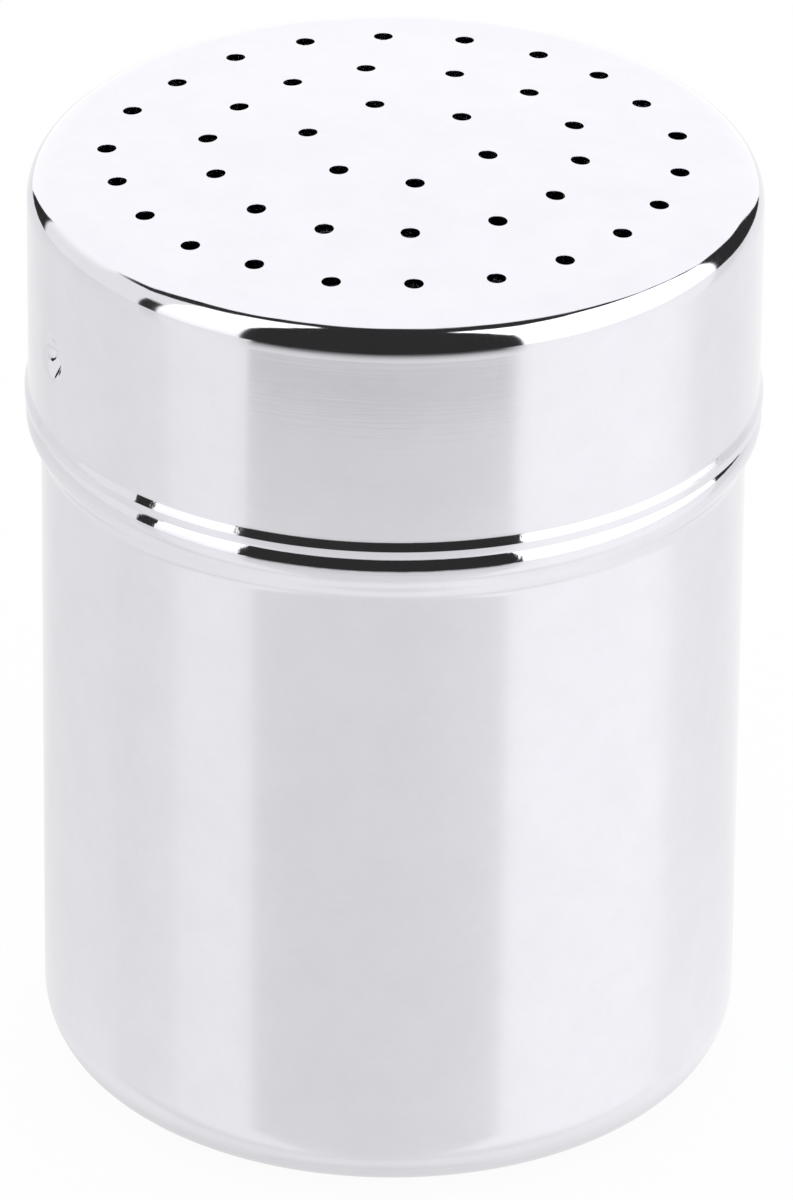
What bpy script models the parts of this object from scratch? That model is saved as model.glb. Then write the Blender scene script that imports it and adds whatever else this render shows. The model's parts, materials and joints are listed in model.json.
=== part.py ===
"""Spice shaker of polished stainless steel: a deep-drawn cup and a perforated lid.

The cup has a rolled bead that carries the lid's rim. Above the bead its neck stands up inside
the lid. Two dimples in the lid's skirt run in two L-shaped grooves in the neck: the lid is
lifted off straight when the dimples stand in the open legs, and turned to lock.

Units are metres, +Z is up. The cup stands on z = 0 and its axis is the Z axis. The side
with the lowest Y is the front.
"""

import math

import bmesh
import bpy

MM = 0.001

# Sheet that both pieces are drawn from
SHEET = 0.6 * MM

# Whole shaker
TOTAL_HEIGHT = 96.0 * MM

# Cup
CUP_RADIUS = 33.45 * MM
CUP_CORNER_RADIUS = 6.8 * MM
MOUTH_DEPTH = 7.2 * MM  # from the crown of the lid down to the cup's mouth
BEAD_RADIUS = 1.9 * MM
BEAD_RUN_OUT = 4.0 * MM  # from the widest point down to the plain wall
NECK_FILLET_RADIUS = 0.8 * MM

# Lid
LID_HEIGHT = 25.0 * MM  # from the lip to the crown of the dome
LID_DOME_RADIUS = 250.0 * MM
LID_EDGE_RADIUS = 3.8 * MM
LIP_FLARE_RADIUS = 1.05 * MM
LIP_FLARE_ANGLE = math.radians(50)

# Holes in the lid: the outer, middle and inner ring. A ring's turn is that of its first hole
# from +Y, clockwise from above
HOLE_DIAMETER = 2.0 * MM
HOLE_MARGIN = 8.1 * MM  # from the skirt in to the outer ring
HOLE_RING_SHARES = (1.0, 0.667, 0.324)  # radius of each ring, as a share of the outer one's
HOLE_COUNTS = (22, 14, 6)
HOLE_TURNS = (math.radians(-3.35), math.radians(-6.5), math.radians(-14.45))
HOLE_SIDES = 12

# Bayonet: dimples in the lid's skirt and grooves in the cup's neck
DIMPLE_ANGLES = (math.radians(202.5), math.radians(22.5))
DIMPLE_ABOVE_LIP = 8.6 * MM
DIMPLE_RADIUS = 2.3 * MM
DIMPLE_REACH = 0.8 * MM  # how far a dimple reaches in past the neck's outer face
LOCK_TURN = math.radians(25)
PRESS_FLAT_SHARE = 0.4  # flat middle of a dimple or groove, as a share of its half width

# Fits
SKIRT_GAP = 0.6 * MM  # skirt round neck
SEAT_GAP = 0.35 * MM  # lip over bead
GROOVE_FLOOR_GAP = 0.35 * MM  # tip of a dimple to the floor of its groove
GROOVE_SIDE_GAP = 0.45 * MM  # rim of a dimple to the side of its groove

# Finish of both pieces
STEEL_COLOUR = (0.76, 0.76, 0.79, 1.0)
STEEL_ROUGHNESS = 0.08

# Facets
COLUMNS = 56
ARC_STEPS = 4
DOME_ROWS = 4
PRESS_STEPS = 3  # rows or columns from the middle of a pressed shape to its edge
SHARP_ANGLE = math.radians(35)
CUT_OVERRUN = 2.0 * MM

# Heights and radii that follow from the sizes above
LID_RADIUS = CUP_RADIUS + SKIRT_GAP + SHEET
LIP_HEIGHT = TOTAL_HEIGHT - LID_HEIGHT
LIP_RADIUS = LID_RADIUS + LIP_FLARE_RADIUS * (1 - math.cos(LIP_FLARE_ANGLE))
LIP_FOOT_RADIUS = LIP_RADIUS - SHEET * math.cos(LIP_FLARE_ANGLE)
LIP_FOOT_HEIGHT = LIP_HEIGHT - SHEET * math.sin(LIP_FLARE_ANGLE)

BEAD_CENTRE_RADIUS = LIP_RADIUS - BEAD_RADIUS  # the bead stands out as far as the lip
BEAD_CENTRE_HEIGHT = LIP_FOOT_HEIGHT - math.sqrt(
    (BEAD_RADIUS + SEAT_GAP) ** 2 - (LIP_FOOT_RADIUS - BEAD_CENTRE_RADIUS) ** 2
)
FILLET_CENTRE_RADIUS = CUP_RADIUS + NECK_FILLET_RADIUS
BEAD_TO_FILLET = BEAD_RADIUS + NECK_FILLET_RADIUS
BEAD_END_ANGLE = math.acos((FILLET_CENTRE_RADIUS - BEAD_CENTRE_RADIUS) / BEAD_TO_FILLET)
FILLET_CENTRE_HEIGHT = BEAD_CENTRE_HEIGHT + BEAD_TO_FILLET * math.sin(BEAD_END_ANGLE)
MOUTH_HEIGHT = TOTAL_HEIGHT - MOUTH_DEPTH

HOLE_FIELD_RADIUS = LID_RADIUS - HOLE_MARGIN
DIMPLE_HEIGHT = LIP_HEIGHT + DIMPLE_ABOVE_LIP
DIMPLE_DEPTH = SKIRT_GAP + DIMPLE_REACH
GROOVE_DEPTH = DIMPLE_REACH + GROOVE_FLOOR_GAP
GROOVE_HALF_WIDTH = DIMPLE_RADIUS + GROOVE_SIDE_GAP


def arc(centre, radius, start, end, steps=ARC_STEPS):
    """Points (radius, height) along an arc, both ends included."""
    points = []
    for step in range(steps + 1):
        angle = start + (end - start) * step / steps
        points.append((centre[0] + radius * math.cos(angle), centre[1] + radius * math.sin(angle)))
    return points


def pressed_rows(height, half_width):
    """Heights of the rows that carry a pressed shape, from its lower edge to its upper one."""
    return [height + half_width * step / PRESS_STEPS for step in range(-PRESS_STEPS, PRESS_STEPS + 1)]


def cup_profile():
    """Outer face of the cup, from the middle of the base up to the mouth."""
    corner_centre = (CUP_RADIUS - CUP_CORNER_RADIUS, CUP_CORNER_RADIUS)
    profile = [(0.0, 0.0)]
    profile += arc(corner_centre, CUP_CORNER_RADIUS, -math.pi / 2, 0.0)
    run_out_foot = BEAD_CENTRE_HEIGHT - BEAD_RUN_OUT
    for step in range(ARC_STEPS):
        share = step / ARC_STEPS
        rise = (1 - math.cos(math.pi * share)) / 2
        radius = CUP_RADIUS + (LIP_RADIUS - CUP_RADIUS) * rise
        profile.append((radius, run_out_foot + BEAD_RUN_OUT * share))
    bead_centre = (BEAD_CENTRE_RADIUS, BEAD_CENTRE_HEIGHT)
    profile += arc(bead_centre, BEAD_RADIUS, 0.0, BEAD_END_ANGLE)
    fillet_centre = (FILLET_CENTRE_RADIUS, FILLET_CENTRE_HEIGHT)
    profile += arc(fillet_centre, NECK_FILLET_RADIUS, math.pi + BEAD_END_ANGLE, math.pi, ARC_STEPS // 2)[1:]
    profile += [(CUP_RADIUS, height) for height in pressed_rows(DIMPLE_HEIGHT, GROOVE_HALF_WIDTH)]
    profile.append((CUP_RADIUS, MOUTH_HEIGHT))
    return profile


def lid_profile():
    """Outer face of the lid, from the crown of the dome down to the lip."""
    edge_reach = LID_RADIUS - LID_EDGE_RADIUS
    edge_tilt = math.asin(edge_reach / (LID_DOME_RADIUS - LID_EDGE_RADIUS))
    edge_height = TOTAL_HEIGHT - LID_DOME_RADIUS + (LID_DOME_RADIUS - LID_EDGE_RADIUS) * math.cos(edge_tilt)
    profile = []
    for row in range(DOME_ROWS):
        tilt = edge_tilt * row / DOME_ROWS
        profile.append(
            (
                LID_DOME_RADIUS * math.sin(tilt),
                TOTAL_HEIGHT - LID_DOME_RADIUS * (1 - math.cos(tilt)),
            )
        )
    profile += arc((edge_reach, edge_height), LID_EDGE_RADIUS, math.pi / 2 - edge_tilt, 0.0)
    profile += [(LID_RADIUS, height) for height in reversed(pressed_rows(DIMPLE_HEIGHT, DIMPLE_RADIUS))]
    flare_start = LIP_HEIGHT + LIP_FLARE_RADIUS * math.sin(LIP_FLARE_ANGLE)
    flare_centre = (LID_RADIUS + LIP_FLARE_RADIUS, flare_start)
    profile += arc(flare_centre, LIP_FLARE_RADIUS, math.pi, math.pi + LIP_FLARE_ANGLE)
    return profile


def column_angles(fine_angles, fine_reach):
    """Angles of the mesh columns: a regular set, and a finer one about each fine angle."""
    angles = []
    for fine in fine_angles:
        for step in range(-PRESS_STEPS, PRESS_STEPS + 1):
            angles.append((fine + fine_reach * step / PRESS_STEPS) % math.tau)
    least_space = math.tau / COLUMNS / 2
    for column in range(COLUMNS):
        angle = math.tau * column / COLUMNS
        nearest = min(abs(math.remainder(angle - fine, math.tau)) for fine in angles)
        if nearest > least_space:
            angles.append(angle)
    return sorted(angles)


def press(distance, half_width):
    """Share of the full depth of a pressed shape, at a distance from its middle line."""
    up_the_side = (distance / half_width - PRESS_FLAT_SHARE) / (1 - PRESS_FLAT_SHARE)
    if up_the_side >= 1:
        return 0.0
    return math.cos(math.pi / 2 * max(up_the_side, 0.0)) ** 2


def dimple_depth(angle, height):
    """How far the lid's skirt is pressed in at this place."""
    across = min(abs(math.remainder(angle - dimple, math.tau)) for dimple in DIMPLE_ANGLES) * LID_RADIUS
    return DIMPLE_DEPTH * press(math.hypot(across, height - DIMPLE_HEIGHT), DIMPLE_RADIUS)


def groove_depth(angle, height):
    """How far the cup's neck is pressed in at this place: an open leg and a locking leg."""
    deepest = 0.0
    for dimple in DIMPLE_ANGLES:
        turned = -math.remainder(angle - dimple, math.tau)
        past_leg = max(-turned, turned - LOCK_TURN, 0.0) * CUP_RADIUS
        to_locking_leg = math.hypot(past_leg, height - DIMPLE_HEIGHT)
        below_leg = max(DIMPLE_HEIGHT - height, 0.0)
        to_open_leg = math.hypot(turned * CUP_RADIUS, below_leg)
        deepest = max(deepest, press(min(to_locking_leg, to_open_leg), GROOVE_HALF_WIDTH))
    return GROOVE_DEPTH * deepest


def turned_sheet(name, profile, angles, depth_at):
    """A sheet turned about the Z axis and pressed in where depth_at says. Faces point outwards."""
    shell = bmesh.new()
    pole = shell.verts.new((0.0, 0.0, profile[0][1]))
    rows = []
    for radius, height in profile[1:]:
        row = []
        for angle in angles:
            pressed = radius - depth_at(angle, height)
            row.append(shell.verts.new((pressed * math.cos(angle), pressed * math.sin(angle), height)))
        rows.append(row)
    count = len(angles)
    for column in range(count):
        shell.faces.new((pole, rows[0][column], rows[0][(column + 1) % count]))
    for upper, lower in zip(rows, rows[1:]):
        for column in range(count):
            after = (column + 1) % count
            shell.faces.new((upper[column], lower[column], lower[after], upper[after]))
    bmesh.ops.recalc_face_normals(shell, faces=shell.faces)
    mesh = bpy.data.meshes.new(name)
    shell.to_mesh(mesh)
    shell.free()
    return mesh


def hole_cutter():
    """One upright pin for each hole of the lid."""
    pins = bmesh.new()
    top = TOTAL_HEIGHT + CUT_OVERRUN
    bottom = TOTAL_HEIGHT - SHEET - LID_EDGE_RADIUS - CUT_OVERRUN
    for ring_share, count, first_turn in zip(HOLE_RING_SHARES, HOLE_COUNTS, HOLE_TURNS):
        ring_radius = HOLE_FIELD_RADIUS * ring_share
        for index in range(count):
            turn = first_turn + math.tau * index / count
            made = bmesh.ops.create_cone(
                pins,
                cap_ends=True,
                segments=HOLE_SIDES,
                radius1=HOLE_DIAMETER / 2,
                radius2=HOLE_DIAMETER / 2,
                depth=top - bottom,
            )
            place = (ring_radius * math.sin(turn), ring_radius * math.cos(turn), (top + bottom) / 2)
            bmesh.ops.translate(pins, verts=made["verts"], vec=place)
    mesh = bpy.data.meshes.new("hole_cutter")
    pins.to_mesh(mesh)
    pins.free()
    cutter = bpy.data.objects.new("hole_cutter", mesh)
    bpy.context.scene.collection.objects.link(cutter)
    cutter.hide_render = True
    cutter.display_type = "WIRE"
    return cutter


def steel(name):
    """Polished stainless steel."""
    material = bpy.data.materials.new(name)
    material.use_nodes = True
    shader = material.node_tree.nodes["Principled BSDF"]
    shader.inputs["Base Color"].default_value = STEEL_COLOUR
    shader.inputs["Metallic"].default_value = 1.0
    shader.inputs["Roughness"].default_value = STEEL_ROUGHNESS
    return material


def add_piece(name, mesh):
    """Puts a sheet into the scene, smooth-shaded, with its thickness added inwards."""
    piece = bpy.data.objects.new(name, mesh)
    bpy.context.scene.collection.objects.link(piece)
    mesh.materials.append(steel(name + "_steel"))
    mesh.shade_smooth()
    mesh.set_sharp_from_angle(angle=SHARP_ANGLE)
    wall = piece.modifiers.new("wall", "SOLIDIFY")
    wall.thickness = SHEET
    wall.offset = -1.0
    wall.use_even_offset = True
    return piece


def make_cup():
    """The deep-drawn cup, with its bead and its grooved neck."""
    locked_angles = [dimple - LOCK_TURN for dimple in DIMPLE_ANGLES]
    angles = column_angles(list(DIMPLE_ANGLES) + locked_angles, GROOVE_HALF_WIDTH / CUP_RADIUS)
    return add_piece("cup", turned_sheet("cup", cup_profile(), angles, groove_depth))


def make_lid():
    """The perforated lid, with its dimples and its flared lip."""
    angles = column_angles(DIMPLE_ANGLES, DIMPLE_RADIUS / LID_RADIUS)
    lid = add_piece("lid", turned_sheet("lid", lid_profile(), angles, dimple_depth))
    holes = lid.modifiers.new("holes", "BOOLEAN")
    holes.operation = "DIFFERENCE"
    holes.solver = "EXACT"
    holes.object = hole_cutter()
    return lid


for old in list(bpy.data.objects):
    bpy.data.objects.remove(old, do_unlink=True)

make_cup()
make_lid()
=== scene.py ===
import json
import math

import bpy
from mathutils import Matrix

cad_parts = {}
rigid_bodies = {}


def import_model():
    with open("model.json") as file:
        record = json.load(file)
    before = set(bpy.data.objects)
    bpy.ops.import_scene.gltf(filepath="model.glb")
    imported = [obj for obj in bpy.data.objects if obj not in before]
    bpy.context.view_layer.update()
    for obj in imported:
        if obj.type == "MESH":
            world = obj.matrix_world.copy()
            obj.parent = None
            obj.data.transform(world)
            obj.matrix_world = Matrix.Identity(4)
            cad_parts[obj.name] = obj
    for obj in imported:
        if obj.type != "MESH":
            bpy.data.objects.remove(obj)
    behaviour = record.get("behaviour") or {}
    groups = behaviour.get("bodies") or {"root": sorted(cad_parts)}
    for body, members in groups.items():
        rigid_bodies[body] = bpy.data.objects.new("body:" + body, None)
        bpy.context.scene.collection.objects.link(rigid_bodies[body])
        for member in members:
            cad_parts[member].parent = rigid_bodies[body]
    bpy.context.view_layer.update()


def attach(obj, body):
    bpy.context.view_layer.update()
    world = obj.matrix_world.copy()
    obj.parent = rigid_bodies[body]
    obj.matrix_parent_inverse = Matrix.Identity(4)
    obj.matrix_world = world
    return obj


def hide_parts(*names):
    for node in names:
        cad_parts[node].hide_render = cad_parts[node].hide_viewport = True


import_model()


# Cup. One deep-drawn cup of polished stainless sheet: flat base, rounded corner, straight wall,
# a hollow bead rolled outwards and a neck. It is turned as one profile, the two L-shaped bayonet
# grooves are pressed into the neck, and the sheet gets its thickness inwards.

MM = 0.001
SHEET = 0.6 * MM
CUP_RADIUS = 33.45 * MM
CUP_CORNER_RADIUS = 6.8 * MM
MOUTH_HEIGHT = 88.8 * MM
BEAD_REACH = 34.88 * MM
BEAD_HEIGHT = 68.35 * MM
BEAD_BENDS = ((2.0 * MM, 14.0), (3.8 * MM, 30.0), (1.3 * MM, 62.8))
BEAD_RUN_OUT = 3.6 * MM
NECK_FILLET_RADIUS = 0.8 * MM
PRESS_HEIGHT = 79.6 * MM
PRESS_TURN = math.radians(22.5)
GROOVE_DEPTH = 1.15 * MM
GROOVE_HALF_WIDTH = 2.75 * MM
GROOVE_FLAT = 0.35
GROOVE_CLEAR_OF_BEAD = 2.5 * MM
LOCK_TURN = math.radians(25)
BASE_RINGS, CORNER_ROWS, WALL_ROWS, RUN_OUT_ROWS = 6, 16, 8, 12
BEND_ROWS, FILLET_ROWS, NECK_ROWS, GROOVE_ROWS = 6, 5, 4, 14
COARSE_COLUMN = math.tau / 400
FINE_COLUMN = math.radians(1.0) / 3
PAST_SEAM = math.radians(8)
DOUBLES_DISTANCE = 0.002 * MM
EDGE_ROUND = 0.1 * MM
SHARP_ANGLE = math.radians(50)
CUP_GRAIN = 0.03
CUP_ROLLED = (68.6 * MM, 70.2 * MM)


def arc(centre, radius, start, end, steps):
    """Points (radius, height) along an arc, both ends included."""
    turns = [start + (end - start) * step / steps for step in range(steps + 1)]
    return [(centre[0] + radius * math.cos(t), centre[1] + radius * math.sin(t)) for t in turns]


def rise(radius, bottom, top, steps):
    """Points up a straight wall, without its lower end."""
    return [(radius, bottom + (top - bottom) * step / steps) for step in range(1, steps + 1)]


def follow_bends(points, tilt, bends):
    """Adds bends of given radius to a profile, each as far as a tilt of the face in degrees."""
    points = list(points)
    for radius, end in bends:
        radius_end, height_end = points[-1]
        centre = (radius_end - radius * math.cos(tilt), height_end - radius * math.sin(tilt))
        points += arc(centre, radius, tilt, math.radians(end), BEND_ROWS)[1:]
        tilt = math.radians(end)
    return points, tilt


def draw_profile(name, points):
    """Extrudes one corner along the points, in the plane of X and Z, and stays in edit mode."""
    bpy.ops.object.select_all(action="DESELECT")
    bpy.ops.mesh.primitive_plane_add(size=SHEET)
    piece = bpy.context.active_object
    piece.name = name
    bpy.ops.object.mode_set(mode="EDIT")
    bpy.ops.mesh.merge(type="CENTER")
    bpy.ops.transform.translate(value=(points[0][0], 0, points[0][1]))
    for here, there in zip(points, points[1:]):
        step = (there[0] - here[0], 0, there[1] - here[1])
        bpy.ops.mesh.extrude_region_move(TRANSFORM_OT_translate={"value": step})
    return piece


def turn_profile(fine_ranges):
    """Spins the profile once round the Z axis, with closer columns in the fine ranges."""
    bpy.ops.mesh.select_all(action="SELECT")
    at = 0.0
    stops = []
    for start, end in fine_ranges:
        stops.append((start, COARSE_COLUMN))
        stops.append((end, FINE_COLUMN))
    stops.append((math.tau, COARSE_COLUMN))
    for stop, width in stops:
        count = max(1, round((stop - at) / width))
        bpy.ops.mesh.spin(steps=count, angle=stop - at, center=(0, 0, 0), axis=(0, 0, 1))
        at = stop
    bpy.ops.mesh.select_all(action="SELECT")
    bpy.ops.mesh.remove_doubles(threshold=DOUBLES_DISTANCE)
    bpy.ops.mesh.normals_make_consistent(inside=False)
    bpy.ops.object.mode_set(mode="OBJECT")


def press_in(piece, depth, shares):
    """Presses the wall inwards by a share of the depth, given for each vertex."""
    group = piece.vertex_groups.new(name="pressed")
    for vertex in piece.data.vertices:
        share = shares(math.atan2(vertex.co.y, vertex.co.x), vertex.co.z)
        if share > 0:
            group.add([vertex.index], share, "REPLACE")
    press = piece.modifiers.new("press", "DISPLACE")
    press.vertex_group = group.name
    press.mid_level = 0.0
    press.strength = -depth
    bpy.ops.object.modifier_apply(modifier=press.name)


def add_wall(piece):
    """Gives the turned skin its sheet thickness, inwards."""
    wall = piece.modifiers.new("wall", "SOLIDIFY")
    wall.thickness = SHEET
    wall.offset = -1
    wall.use_even_offset = True
    bpy.ops.object.modifier_apply(modifier=wall.name)


def soften_edges(piece):
    """Takes the sharpness off cut edges and shades the rest as one smooth sheet."""
    bevel = piece.modifiers.new("soft edges", "BEVEL")
    bevel.width = EDGE_ROUND
    bevel.segments = 2
    bevel.limit_method = "ANGLE"
    bevel.angle_limit = SHARP_ANGLE
    bevel.use_clamp_overlap = True
    bpy.ops.object.modifier_apply(modifier=bevel.name)
    bpy.ops.object.shade_smooth()
    weights = piece.modifiers.new("weights", "WEIGHTED_NORMAL")
    weights.keep_sharp = True
    bpy.ops.object.modifier_apply(modifier=weights.name)


def pressed_share(distance, half_width, flat):
    """Depth of a pressed shape as a share, flat in the middle and rounded up its sides."""
    up = (distance / half_width - flat) / (1 - flat)
    return 0.0 if up >= 1 else math.cos(math.pi / 2 * max(up, 0.0)) ** 2


def groove_share(turn, height):
    """Open leg up to the mouth, and a locking leg to the side of it."""
    share = 0.0
    for k in (0, 1):
        turned = -math.remainder(turn - PRESS_TURN - k * math.pi, math.tau)
        past_leg = max(-turned, turned - LOCK_TURN, 0.0) * CUP_RADIUS
        to_lock = math.hypot(past_leg, height - PRESS_HEIGHT)
        to_open = math.hypot(turned * CUP_RADIUS, max(PRESS_HEIGHT - height, 0.0))
        to_groove = min(to_lock, to_open)
        share = max(share, pressed_share(to_groove, GROOVE_HALF_WIDTH, GROOVE_FLAT))
    in_neck = height > BEAD_HEIGHT + GROOVE_CLEAR_OF_BEAD
    return share if in_neck else 0.0


corner_centre = (CUP_RADIUS - CUP_CORNER_RADIUS, CUP_CORNER_RADIUS)
cup_points = [(0.0, 0.0)]
cup_points += [(corner_centre[0] * step / BASE_RINGS, 0.0) for step in range(1, BASE_RINGS)]
cup_points += arc(corner_centre, CUP_CORNER_RADIUS, -math.pi / 2, 0.0, CORNER_ROWS)
run_out_foot = BEAD_HEIGHT - BEAD_RUN_OUT
cup_points += rise(CUP_RADIUS, CUP_CORNER_RADIUS, run_out_foot, WALL_ROWS)
for step in range(1, RUN_OUT_ROWS + 1):
    swell = (1 - math.cos(math.pi * step / RUN_OUT_ROWS)) / 2
    reach = CUP_RADIUS + (BEAD_REACH - CUP_RADIUS) * swell
    cup_points.append((reach, run_out_foot + BEAD_RUN_OUT * step / RUN_OUT_ROWS))
cup_points, bead_tilt = follow_bends(cup_points, 0.0, BEAD_BENDS)
fillet_foot = cup_points[-1]
fillet_centre = (
    fillet_foot[0] + NECK_FILLET_RADIUS * math.cos(bead_tilt),
    fillet_foot[1] + NECK_FILLET_RADIUS * math.sin(bead_tilt),
)
fillet = arc(fillet_centre, NECK_FILLET_RADIUS, math.pi + bead_tilt, math.pi, FILLET_ROWS)
cup_points += fillet[1:]
neck_radius = cup_points[-1][0]
groove_foot = PRESS_HEIGHT - GROOVE_HALF_WIDTH
groove_head = PRESS_HEIGHT + GROOVE_HALF_WIDTH
cup_points += rise(neck_radius, fillet_centre[1], groove_foot, NECK_ROWS)
cup_points += rise(neck_radius, groove_foot, groove_head, GROOVE_ROWS)
cup_points += rise(neck_radius, groove_head, MOUTH_HEIGHT, NECK_ROWS)

cup_shell = draw_profile("cup_shell", cup_points)
groove_reach = GROOVE_HALF_WIDTH / CUP_RADIUS
grooves_start = PRESS_TURN - LOCK_TURN - groove_reach
grooves_end = PRESS_TURN + groove_reach
turn_profile([
    (grooves_start + PAST_SEAM, grooves_end),
    (grooves_start + math.pi, grooves_end + math.pi),
])
press_in(cup_shell, GROOVE_DEPTH, groove_share)
add_wall(cup_shell)
soften_edges(cup_shell)


def feed(tree, socket, value):
    """Sets a socket to a number, or links it to another socket."""
    if isinstance(value, (int, float)):
        socket.default_value = value
    else:
        tree.links.new(value, socket)


def calculate(tree, operation, *values):
    """One step of arithmetic on sockets or numbers."""
    node = tree.nodes.new("ShaderNodeMath")
    node.operation = operation
    for socket, value in zip(node.inputs, values):
        feed(tree, socket, value)
    return node.outputs[0]


def multiply(tree, first, *others):
    """Product of several sockets or numbers."""
    for other in others:
        first = calculate(tree, "MULTIPLY", first, other)
    return first


def rescale(tree, value, before, after, kind="LINEAR"):
    """Maps a value from one range to another, and stops at the ends."""
    node = tree.nodes.new("ShaderNodeMapRange")
    node.interpolation_type = kind
    names = ("From Min", "From Max", "To Min", "To Max")
    for name, number in zip(names, (*before, *after)):
        node.inputs[name].default_value = number
    tree.links.new(value, node.inputs["Value"])
    return node.outputs["Result"]


def step_up(tree, value, low, high):
    """0 at low, 1 at high, and a soft step between them."""
    return rescale(tree, value, (low, high), (0.0, 1.0), "SMOOTHSTEP")


def noise(tree, place, scale, detail, roughness=0.5):
    """Cloudy noise, from 0 to 1."""
    node = tree.nodes.new("ShaderNodeTexNoise")
    node.inputs["Scale"].default_value = scale
    node.inputs["Detail"].default_value = detail
    node.inputs["Roughness"].default_value = roughness
    tree.links.new(place, node.inputs["Vector"])
    return node.outputs["Fac"]


def bump(tree, height, distance):
    """Raises the surface by up to the distance."""
    node = tree.nodes.new("ShaderNodeBump")
    node.inputs["Strength"].default_value = 1.0
    node.inputs["Distance"].default_value = distance
    tree.links.new(height, node.inputs["Height"])
    return node


POLISH_ROUGHNESS = 0.03
STEEL_GREY = (0.775, 0.80)
STEEL_BLUER = 1.055
HANDLING_SCALE = 120.0
BLOTCH_SCALE = 170.0
STREAK_SCALE = (110.0, 110.0, 4200.0)
STREAK_HEIGHT = 0.06 * MM
TOOL_MARK_SCALE = 700.0
TOOL_MARK_HEIGHT = 0.014 * MM
TOOL_MARK_FADE = 0.3 * MM


def polished_steel(name, grain, rolled):
    """Mirror-polished stainless steel with faint grain, and tool marks where it was rolled."""
    material = bpy.data.materials.new(name)
    material.use_nodes = True
    tree = material.node_tree
    shader = tree.nodes["Principled BSDF"]
    shader.inputs["Metallic"].default_value = 1.0
    place = tree.nodes.new("ShaderNodeTexCoord").outputs["Object"]

    handled = noise(tree, place, HANDLING_SCALE, 4.0)
    polish = (POLISH_ROUGHNESS, POLISH_ROUGHNESS + grain)
    tree.links.new(rescale(tree, handled, (0.3, 0.7), polish), shader.inputs["Roughness"])

    blotches = noise(tree, place, BLOTCH_SCALE, 6.0, 0.7)
    grey = rescale(tree, blotches, (0.35, 0.65), STEEL_GREY)
    colour = tree.nodes.new("ShaderNodeCombineColor")
    tree.links.new(grey, colour.inputs["Red"])
    tree.links.new(grey, colour.inputs["Green"])
    tree.links.new(multiply(tree, grey, STEEL_BLUER), colour.inputs["Blue"])
    tree.links.new(colour.outputs["Color"], shader.inputs["Base Color"])

    around = tree.nodes.new("ShaderNodeMapping")
    around.inputs["Scale"].default_value = STREAK_SCALE
    tree.links.new(place, around.inputs["Vector"])
    streaks = noise(tree, around.outputs["Vector"], 1.0, 3.0)
    brushed = bump(tree, streaks, grain * STREAK_HEIGHT)

    parts = tree.nodes.new("ShaderNodeSeparateXYZ")
    tree.links.new(place, parts.inputs["Vector"])
    foot, head = rolled
    above = step_up(tree, parts.outputs["Z"], foot, foot + TOOL_MARK_FADE)
    below = step_up(tree, parts.outputs["Z"], head + TOOL_MARK_FADE, head)
    marks = multiply(tree, noise(tree, place, TOOL_MARK_SCALE, 3.0), above, below)
    rolling = bump(tree, marks, TOOL_MARK_HEIGHT)
    tree.links.new(brushed.outputs["Normal"], rolling.inputs["Normal"])
    tree.links.new(rolling.outputs["Normal"], shader.inputs["Normal"])
    return material


cup_shell.data.materials.append(polished_steel("cup_steel", CUP_GRAIN, CUP_ROLLED))
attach(cup_shell, "cup")
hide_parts("cup")


# Lid. One drawn cap of the same sheet: a domed top, a rounded top edge, a straight skirt, and a
# lip that flares out over the bead as a short cone with an upright rim. The holes are punched in
# three rings, and two dimples pressed into the skirt run in the grooves of the neck.

LID_TOP = 96.0 * MM
LID_RADIUS = 34.65 * MM
LID_DOME_RADIUS = 250.0 * MM
LID_EDGE_RADIUS = 3.8 * MM
DOME_SAG = 3.5 * MM
LIP_START = 71.84 * MM
LIP_FOOT = 70.15 * MM
LIP_BEND_RADIUS = 0.6 * MM
LIP_RIM_RADIUS = 0.3 * MM
LIP_CONE_HEIGHT = 0.65 * MM
LIP_CONE_ANGLE = math.radians(22)
DIMPLE_DEPTH = 1.25 * MM
DIMPLE_RADIUS = 2.7 * MM
DIMPLE_FLAT = 0.0
DOME_ROWS, EDGE_ROWS, SKIRT_ROWS, DIMPLE_ROWS, LIP_ROWS, RIM_ROWS = 14, 26, 4, 22, 6, 3
HOLE_RADIUS = 0.91 * MM
PUNCH_SIDES = 40
PUNCH_LENGTH = 8 * MM
LID_GRAIN = 0.05
LID_ROLLED = (70.9 * MM, 71.7 * MM)

# The holes' places, ring by ring, as degrees clockwise from the back and millimetres out.
OUTER_HOLES = (
    (-2.9, 26.66), (13.9, 26.79), (30.6, 26.52), (46.2, 26.62), (62.2, 26.22), (78.5, 27.01),
    (95.4, 26.68), (111.2, 26.29), (126.5, 26.14), (143.6, 26.38), (159.6, 26.76),
    (176.2, 26.45), (192.6, 26.76), (209.6, 26.17), (225.0, 26.72), (241.2, 26.5),
    (257.8, 26.59), (273.1, 27.2), (291.2, 26.77), (307.2, 26.19), (324.5, 26.53), (340.8, 26.79),
)
MIDDLE_HOLES = (
    (-9.4, 18.05), (18.2, 17.55), (44.4, 17.92), (71.3, 17.67), (96.4, 17.34), (122.3, 17.55),
    (147.5, 17.63), (175.5, 17.61), (201.4, 18.03), (225.4, 18.12), (252.0, 17.66),
    (276.8, 17.82), (301.0, 17.34), (325.6, 17.5),
)
INNER_HOLES = (
    (-13.8, 8.61), (46.6, 8.45), (105.0, 8.88), (168.1, 8.67), (222.0, 7.96), (284.2, 8.56),
)


def nearest_press(turn):
    """Angle from the nearer of the two opposite pressed places, positive anticlockwise."""
    return min(
        (math.remainder(turn - PRESS_TURN - k * math.pi, math.tau) for k in (0, 1)), key=abs
    )


def dimple_share(turn, height):
    """A round dimple, pressed with a ball-ended punch."""
    across = nearest_press(turn) * LID_RADIUS
    return pressed_share(math.hypot(across, height - PRESS_HEIGHT), DIMPLE_RADIUS, DIMPLE_FLAT)


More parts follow.
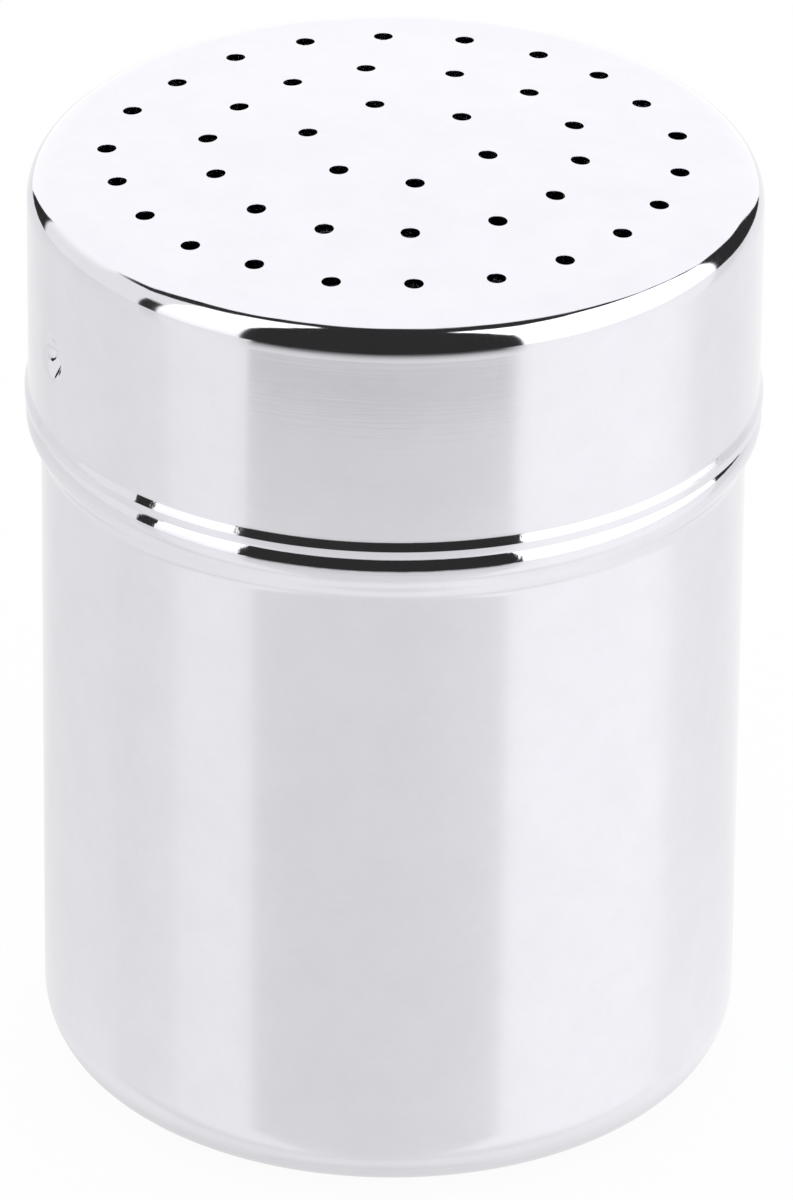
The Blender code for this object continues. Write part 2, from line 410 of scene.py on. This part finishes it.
def punch_holes(lid):
    """Drills every hole of the three rings with its own copy of one pin."""
    bpy.ops.object.select_all(action="DESELECT")
    bpy.ops.mesh.primitive_cylinder_add(vertices=PUNCH_SIDES, radius=HOLE_RADIUS,
                                        depth=PUNCH_LENGTH)
    pin = bpy.context.active_object
    pin.name = "punch"
    places = []
    for turn, radius in OUTER_HOLES + MIDDLE_HOLES + INNER_HOLES:
        turn = math.radians(turn)
        places.append((radius * MM * math.sin(turn), radius * MM * math.cos(turn)))
    pin.location = (*places[0], LID_TOP)
    for place in places[1:]:
        bpy.ops.object.duplicate()
        bpy.context.active_object.location = (*place, LID_TOP)
    pins = [each for each in bpy.data.objects if each.name.startswith("punch")]
    for each in pins:
        each.select_set(True)
    bpy.ops.object.join()
    punch = bpy.context.active_object
    bpy.ops.object.select_all(action="DESELECT")
    lid.select_set(True)
    bpy.context.view_layer.objects.active = lid
    cut = lid.modifiers.new("holes", "BOOLEAN")
    cut.operation = "DIFFERENCE"
    cut.solver = "EXACT"
    cut.object = punch
    bpy.ops.object.modifier_apply(modifier=cut.name)
    bpy.data.objects.remove(punch)


edge_reach = LID_RADIUS - LID_EDGE_RADIUS
edge_tilt = math.asin(edge_reach / (LID_DOME_RADIUS - LID_EDGE_RADIUS))
dome_centre = LID_TOP - LID_DOME_RADIUS
edge_height = dome_centre + (LID_DOME_RADIUS - LID_EDGE_RADIUS) * math.cos(edge_tilt)
edge_top = edge_height + LID_EDGE_RADIUS
lid_points = []
for step in range(DOME_ROWS):
    share = step / DOME_ROWS
    height = edge_top + (LID_TOP - edge_top) * (1 - share ** 2)
    height -= DOME_SAG * share ** 3 * (1 - share)
    lid_points.append((edge_reach * share, height))
lid_points += arc((edge_reach, edge_height), LID_EDGE_RADIUS, math.pi / 2, 0.0, EDGE_ROWS)
dimple_head = PRESS_HEIGHT + DIMPLE_RADIUS
dimple_foot = PRESS_HEIGHT - DIMPLE_RADIUS
lid_points += rise(LID_RADIUS, edge_height, dimple_head, SKIRT_ROWS)
lid_points += rise(LID_RADIUS, dimple_head, dimple_foot, DIMPLE_ROWS)
lid_points += rise(LID_RADIUS, dimple_foot, LIP_START, RIM_ROWS)
bend_centre = (LID_RADIUS + LIP_BEND_RADIUS, LIP_START)
bend_end = math.pi + LIP_CONE_ANGLE
lid_points += arc(bend_centre, LIP_BEND_RADIUS, math.pi, bend_end, LIP_ROWS)[1:]
cone_foot = (
    lid_points[-1][0] + LIP_CONE_HEIGHT * math.tan(LIP_CONE_ANGLE),
    lid_points[-1][1] - LIP_CONE_HEIGHT,
)
rim_centre = (
    cone_foot[0] - LIP_RIM_RADIUS * math.cos(LIP_CONE_ANGLE),
    cone_foot[1] - LIP_RIM_RADIUS * math.sin(LIP_CONE_ANGLE),
)
lid_points += arc(rim_centre, LIP_RIM_RADIUS, LIP_CONE_ANGLE, 0.0, LIP_ROWS)
lid_points += rise(rim_centre[0] + LIP_RIM_RADIUS, rim_centre[1], LIP_FOOT, RIM_ROWS)

lid_shell = draw_profile("lid_shell", lid_points)
dimple_reach = DIMPLE_RADIUS / LID_RADIUS
turn_profile([
    (PRESS_TURN - dimple_reach, PRESS_TURN + dimple_reach),
    (PRESS_TURN - dimple_reach + math.pi, PRESS_TURN + dimple_reach + math.pi),
])
press_in(lid_shell, DIMPLE_DEPTH, dimple_share)
add_wall(lid_shell)
punch_holes(lid_shell)
soften_edges(lid_shell)

lid_shell.data.materials.append(polished_steel("lid_steel", LID_GRAIN, LID_ROLLED))
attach(lid_shell, "lid")
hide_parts("lid")


# Room. Large white panels stand to the left and right of the shaker, the room in front of them
# is dark, and a bright canopy overhead comes down behind as a backdrop. Only the steel's
# reflections see it: everything else sees plain white. Azimuths are degrees, 0 at the front.

DARK, SIDE, CANOPY = 0.03, 0.95, 1.17
LEFT_GLOW = ((-0.2, 1.1), (0.0, 1.15), (0.25, 1.42), (1, 1.5))
RIGHT_GLOW = ((-0.2, 1.3), (0.0, 1.4), (0.25, 1.75), (1, 1.8))
BACK_LEFT_END = (-132.5, -130.5)
GAP_START = (-82.4, -81.4)
GAP_END = (-75.6, -74.6)
GAP_TOP = (0.26, 0.40)
OPENING_START = (110.8, 112.4)
PANEL_SIDE_BLUR = 0.6
PANEL_TOP_BLUR = 0.007
ABOVE_PANELS_START = (-112, -96)
CANOPY_BLUR = 0.008
SOFT_CANOPY_END = (-108, -100)
SOFT_CANOPY_RISE = (-0.30, 0.02)

# The canopy's edge and the tops of the panels, as azimuth and elevation in degrees.
CANOPY_EDGE = (
    (-180, -25), (-156, -20), (-150, -10), (-143, -2), (-137, 4.5), (-131.5, 12), (-129, 20),
    (-113, 30), (-96, 40), (-88, 52.5), (-61, 65), (-45, 68.5), (-30, 69.5), (0, 70.5),
    (31, 67.5), (47, 65.5), (57, 61.5), (71, 55.5), (84, 48), (94, 39.8), (103, 33.1),
    (112.5, 24), (118, 22), (122.5, 18.5), (128, 14.5), (134, 12), (139.5, 2.5), (144, -4),
    (153, -12.5), (158, -20), (180, -25),
)
PANEL_TOPS = (
    (-180, 0), (-113, 30), (-100, 32.5), (-89.5, 34.5), (-76, 45.3), (-59, 55), (-41, 60),
    (0, 58), (34.8, 54), (50.6, 49.7), (71, 47.5), (84, 43), (94, 37.6), (103, 30.9),
    (112.5, 21.8), (180, 0),
)
# The panels' inner edges, as height on the unit sphere and azimuth.
LEFT_EDGE = ((0, -46.5), (0.47, -46.5), (0.64, -43), (0.77, -38), (0.84, -34), (1, -22))
RIGHT_EDGE = ((0, 38.5), (0.47, 38.5), (0.7, 32), (0.774, 28), (0.82, 23), (1, 10))


def blend_levels(tree, factor, first, second):
    """One of two light levels, chosen by the factor."""
    node = tree.nodes.new("ShaderNodeMix")
    tree.links.new(factor, node.inputs["Factor"])
    feed(tree, node.inputs["A"], first)
    feed(tree, node.inputs["B"], second)
    return node.outputs["Result"]


def curve(tree, value, points, low, high):
    """Looks a value up on a curve of straight pieces, whose levels lie between low and high."""
    start, end = points[0][0], points[-1][0]
    node = tree.nodes.new("ShaderNodeValToRGB")
    elements = node.color_ramp.elements
    while len(elements) > 1:
        elements.remove(elements[-1])
    for position, level in points:
        share = (level - low) / (high - low)
        along = (position - start) / (end - start)
        element = elements[0] if along == 0 else elements.new(along)
        element.position = along
        element.color = (share, share, share, 1)
    scaled = calculate(tree, "MULTIPLY_ADD", value, 1 / (end - start), -start / (end - start))
    tree.links.new(scaled, node.inputs["Fac"])
    return calculate(tree, "MULTIPLY_ADD", node.outputs["Color"], high - low, low)


def sines(points):
    """Elevations in degrees turned into heights on the unit sphere."""
    return [(azimuth, math.sin(math.radians(elevation))) for azimuth, elevation in points]


def azimuth_of(tree, across, behind):
    """Degrees round the shaker, 0 at the front and positive to the right."""
    toward = multiply(tree, behind, -1.0)
    return multiply(tree, calculate(tree, "ARCTAN2", across, toward), 180 / math.pi)


def outside(tree, value):
    """1 - value."""
    return calculate(tree, "SUBTRACT", 1.0, value)


world = bpy.data.worlds.new("studio")
bpy.context.scene.world = world
world.use_nodes = True
room = world.node_tree
direction = room.nodes.new("ShaderNodeTexCoord")
axes = room.nodes.new("ShaderNodeSeparateXYZ")
room.links.new(direction.outputs["Generated"], axes.inputs["Vector"])
upward = axes.outputs["Z"]
azimuth = azimuth_of(room, axes.outputs["X"], axes.outputs["Y"])

# Left of the front: a white panel, a narrow gap, then paler reflector as far as the back.
left_glow = curve(room, upward, LEFT_GLOW, 0, 2)
gap_level = blend_levels(room, outside(room, step_up(room, upward, *GAP_TOP)), SIDE, DARK)
left = blend_levels(room, step_up(room, azimuth, *GAP_START), SIDE, gap_level)
left = blend_levels(room, step_up(room, azimuth, *BACK_LEFT_END), DARK, left)
left = blend_levels(room, step_up(room, azimuth, *GAP_END), left, left_glow)

# Right of the front: one wide white panel, and beside it a dark opening below the canopy.
right_glow = curve(room, upward, RIGHT_GLOW, 0, 2)
right = blend_levels(room, step_up(room, azimuth, *OPENING_START), right_glow, DARK)
walls = blend_levels(room, step_up(room, azimuth, -1, 1), left, right)

# The dark room in front lies between the inner edges of the panels.
from_left = calculate(room, "SUBTRACT", azimuth, curve(room, upward, LEFT_EDGE, -60, 60))
from_right = calculate(room, "SUBTRACT", curve(room, upward, RIGHT_EDGE, -60, 60), azimuth)
past_left = step_up(room, from_left, -PANEL_SIDE_BLUR, PANEL_SIDE_BLUR)
past_right = step_up(room, from_right, -PANEL_SIDE_BLUR, PANEL_SIDE_BLUR)
walls = blend_levels(room, multiply(room, past_left, past_right), walls, DARK)

# A dark gap is left between the tops of the panels and the canopy.
over_top = calculate(room, "SUBTRACT", upward, curve(room, azimuth, sines(PANEL_TOPS), -1, 1))
over_panels = step_up(room, over_top, -PANEL_TOP_BLUR, PANEL_TOP_BLUR)
above = multiply(room, over_panels, step_up(room, azimuth, *ABOVE_PANELS_START))
studio = blend_levels(room, above, walls, DARK)
over_edge = calculate(room, "SUBTRACT", upward, curve(room, azimuth, sines(CANOPY_EDGE), -1, 1))
canopy = step_up(room, over_edge, -CANOPY_BLUR, CANOPY_BLUR)
soft_side = multiply(room, step_up(room, azimuth, *BACK_LEFT_END),
                     outside(room, step_up(room, azimuth, *SOFT_CANOPY_END)))
soft_canopy = multiply(room, soft_side, step_up(room, over_edge, *SOFT_CANOPY_RISE))
canopy = calculate(room, "MAXIMUM", canopy, soft_canopy)
studio = blend_levels(room, canopy, studio, CANOPY)

ray = room.nodes.new("ShaderNodeLightPath")
background = room.nodes["Background"]
shown = blend_levels(room, ray.outputs["Is Glossy Ray"], 1.0, studio)
room.links.new(shown, background.inputs["Strength"])
background.inputs["Color"].default_value = (1.0, 1.0, 1.0, 1.0)


# Floor. The shaker stands on a wide sheet of glossy white acrylic, which shows it faintly and
# keeps its shadow. What the steel sees of the sheet is painted light: an emission that holds a
# painted reflection of the room round the floor, painted shade towards the dark room in front,
# and a painted shadow close round the foot. Its real gloss also fades close round the foot.

FLOOR_SIZE = 4.0
FLOOR_BACK_EDGE = 0.45
FLOOR_HEIGHT = -0.2 * MM
FLOOR_WHITE = (0.97, 0.97, 0.97, 1.0)
FLOOR_OWN_LIGHT = 0.93
FLOOR_GLOSS = ((0.2, 0.10), (0.45, 0.06))
GLOSS_START = (0.029, 0.037)
FRONT_START = (-43.5, -41)
FRONT_END = (30, 41)

# Painted light on the floor: levels round it by azimuth are a painted reflection of the room, and
# levels out along it by metres from the shaker's axis are painted shade in front and a painted
# shadow round the foot.
PAINTED_FLOOR_REFLECTION = (
    (-180, 0.80), (-130, 0.70), (-95, 0.735), (-60, 0.785), (-30, 0.80), (0, 0.81), (30, 0.85),
    (50, 0.86), (80, 0.875), (100, 0.83), (120, 0.79), (150, 0.81), (180, 0.80),
)
PAINTED_FRONT_SHADE = (
    (0.0, 1.0), (0.16, 1.0), (0.181, 0.94), (0.189, 0.935), (0.197, 0.93), (0.202, 0.83),
    (0.210, 0.80), (0.225, 1.0), (0.30, 0.92), (0.45, 0.66), (0.7, 0.35), (1.2, 0.08),
)
# Painted shadow round the foot: the floor's glow darkens close to the shaker's axis.
PAINTED_FOOT_SHADOW = ((0.024, 0.35), (0.029, 0.97), (0.034, 1.0))


def blend_shaders(tree, factor, first, second):
    """One of two shaders, chosen by the factor."""
    node = tree.nodes.new("ShaderNodeMixShader")
    feed(tree, node.inputs["Fac"], factor)
    tree.links.new(first, node.inputs[1])
    tree.links.new(second, node.inputs[2])
    return node.outputs[0]


bpy.ops.object.select_all(action="DESELECT")
floor_middle = FLOOR_BACK_EDGE - FLOOR_SIZE / 2
bpy.ops.mesh.primitive_plane_add(size=FLOOR_SIZE, location=(0, floor_middle, FLOOR_HEIGHT))
floor = bpy.context.active_object
floor.name = "acrylic_floor"
bpy.ops.object.transform_apply(location=True, rotation=False, scale=False)

acrylic = bpy.data.materials.new("white_acrylic_painted_glow")
acrylic.use_nodes = True
sheet = acrylic.node_tree
sheet.nodes.clear()
matt = sheet.nodes.new("ShaderNodeBsdfDiffuse")
matt.inputs["Color"].default_value = FLOOR_WHITE
glowing = sheet.nodes.new("ShaderNodeEmission")
glowing.inputs["Color"].default_value = (1.0, 1.0, 1.0, 1.0)
seen_white = blend_shaders(sheet, FLOOR_OWN_LIGHT, matt.outputs[0], glowing.outputs[0])

place = sheet.nodes.new("ShaderNodeTexCoord").outputs["Object"]
length = sheet.nodes.new("ShaderNodeVectorMath")
length.operation = "LENGTH"
sheet.links.new(place, length.inputs[0])
distance = length.outputs["Value"]
spot = sheet.nodes.new("ShaderNodeSeparateXYZ")
sheet.links.new(place, spot.inputs["Vector"])
floor_azimuth = azimuth_of(sheet, spot.outputs["X"], spot.outputs["Y"])

# Painted reflection of the room in the floor: the floor's glow is set by azimuth, and only the
# steel sees it.
painted_floor_glow = curve(sheet, floor_azimuth, PAINTED_FLOOR_REFLECTION, 0, 1)
in_front = multiply(sheet, step_up(sheet, floor_azimuth, *FRONT_START),
                    outside(sheet, step_up(sheet, floor_azimuth, *FRONT_END)))
# Painted shade: the glow darkens out towards the dark room in front.
front_painted_shade = blend_levels(sheet, in_front, 1.0, curve(sheet, distance, PAINTED_FRONT_SHADE, 0, 1))
# Painted shadow: the glow that the steel sees is darkened under and close round the foot.
painted_foot_shadow = curve(sheet, distance, PAINTED_FOOT_SHADOW, 0, 1)
# The painted glow is an emission, so the floor glows in the steel although it is no lamp.
painted_sheen = sheet.nodes.new("ShaderNodeEmission")
sheet.links.new(multiply(sheet, painted_floor_glow, front_painted_shade, painted_foot_shadow), painted_sheen.inputs["Strength"])
painted_glow_and_gloss = painted_sheen.outputs[0]
near_foot = step_up(sheet, distance, *GLOSS_START)
for roughness, strength in FLOOR_GLOSS:
    gloss = sheet.nodes.new("ShaderNodeBsdfGlossy")
    gloss.inputs["Roughness"].default_value = roughness
    sheet.links.new(multiply(sheet, near_foot, strength), gloss.inputs["Color"])
    added = sheet.nodes.new("ShaderNodeAddShader")
    sheet.links.new(painted_glow_and_gloss, added.inputs[0])
    sheet.links.new(gloss.outputs[0], added.inputs[1])
    painted_glow_and_gloss = added.outputs[0]

floor_ray = sheet.nodes.new("ShaderNodeLightPath")
surface = blend_shaders(sheet, floor_ray.outputs["Is Glossy Ray"], seen_white, painted_glow_and_gloss)
output = sheet.nodes.new("ShaderNodeOutputMaterial")
sheet.links.new(surface, output.inputs["Surface"])
floor.data.materials.append(acrylic)


# Camera. It looks down at the shaker from the front with a long lens, and is turned a little
# about its line of sight.

CAMERA_AIM = (0.000432, 0.0, 0.04726)
CAMERA_DISTANCE = 1.0654
CAMERA_ELEVATION = math.radians(28.14)
CAMERA_ROLL = math.radians(0.551)
CAMERA_LENS = 333.96
CAMERA_FILM = 36.0
CAMERA_NEAREST = 0.05

camera_data = bpy.data.cameras.new("camera")
camera_data.lens = CAMERA_LENS
camera_data.sensor_width = CAMERA_FILM
camera_data.clip_start = CAMERA_NEAREST
camera = bpy.data.objects.new("camera", camera_data)
bpy.context.scene.collection.objects.link(camera)
camera.location = (
    CAMERA_AIM[0],
    CAMERA_AIM[1] - CAMERA_DISTANCE * math.cos(CAMERA_ELEVATION),
    CAMERA_AIM[2] + CAMERA_DISTANCE * math.sin(CAMERA_ELEVATION),
)
camera.rotation_euler = (math.pi / 2 - CAMERA_ELEVATION, 0.0, 0.0)
camera.rotation_euler.rotate_axis("Z", CAMERA_ROLL)
bpy.context.scene.camera = camera

bpy.context.scene.view_settings.view_transform = "Standard"
